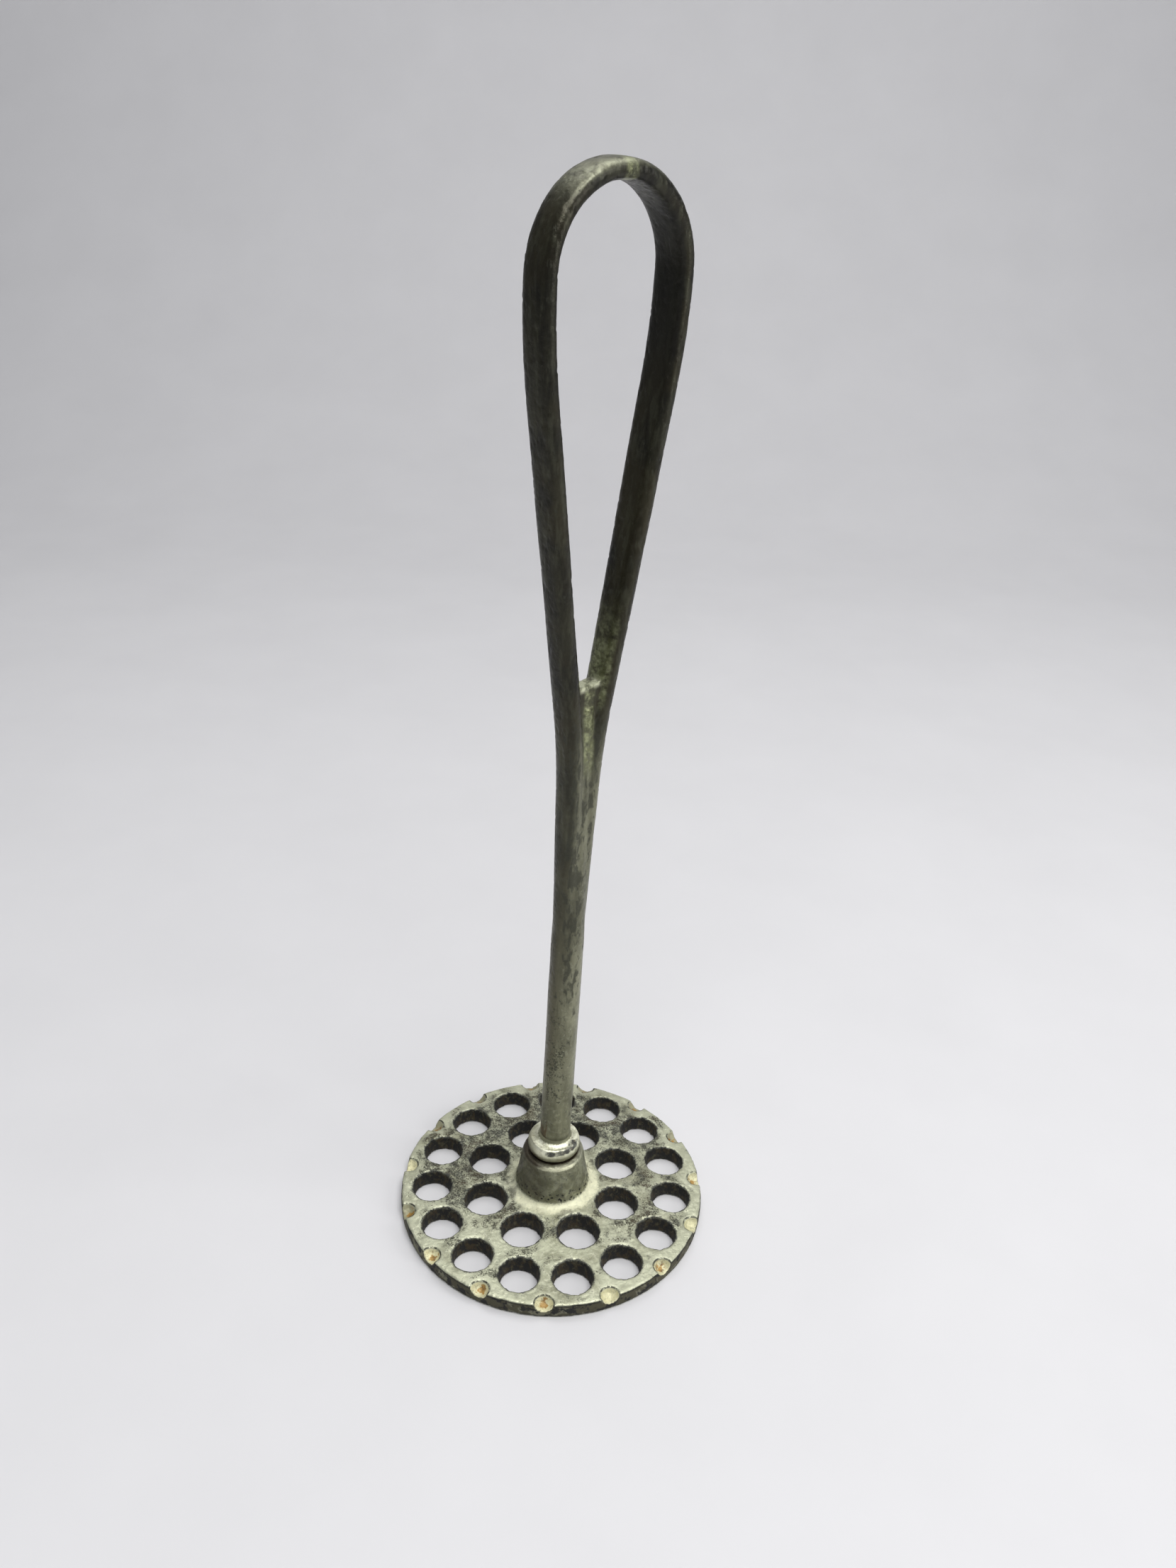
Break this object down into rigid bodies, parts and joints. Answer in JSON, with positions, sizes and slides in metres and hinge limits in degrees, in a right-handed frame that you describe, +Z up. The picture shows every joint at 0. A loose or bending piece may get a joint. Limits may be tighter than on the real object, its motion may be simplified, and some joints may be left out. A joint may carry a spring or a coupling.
{
  "type": "potato ricer",
  "caption": "Plunger-type potato ricer: a perforated cast disc with a tapered hub and domed collar on a slim upright handle that ends in a teardrop loop.",
  "frame": {"origin": "centre of the disc's flat underside", "axes": "+Z up along the hub's axis towards the loop handle; +X is the side that the handle leans towards, and the loop's plane is turned 45 degrees from X towards Y"},
  "size_m": [0.089, 0.089, 0.28],
  "materials": {
    "tinned_iron": "worn tin over rough cast iron, pitted",
    "bright_collar": "smooth and shiny, scratched",
    "worn_handle": "dark tinned iron, worn, satin"
  },
  "bodies": {
    "root": {"masher_plate": "tinned_iron", "collar": "bright_collar", "handle": "worn_handle"}
  },
  "joints": []
}
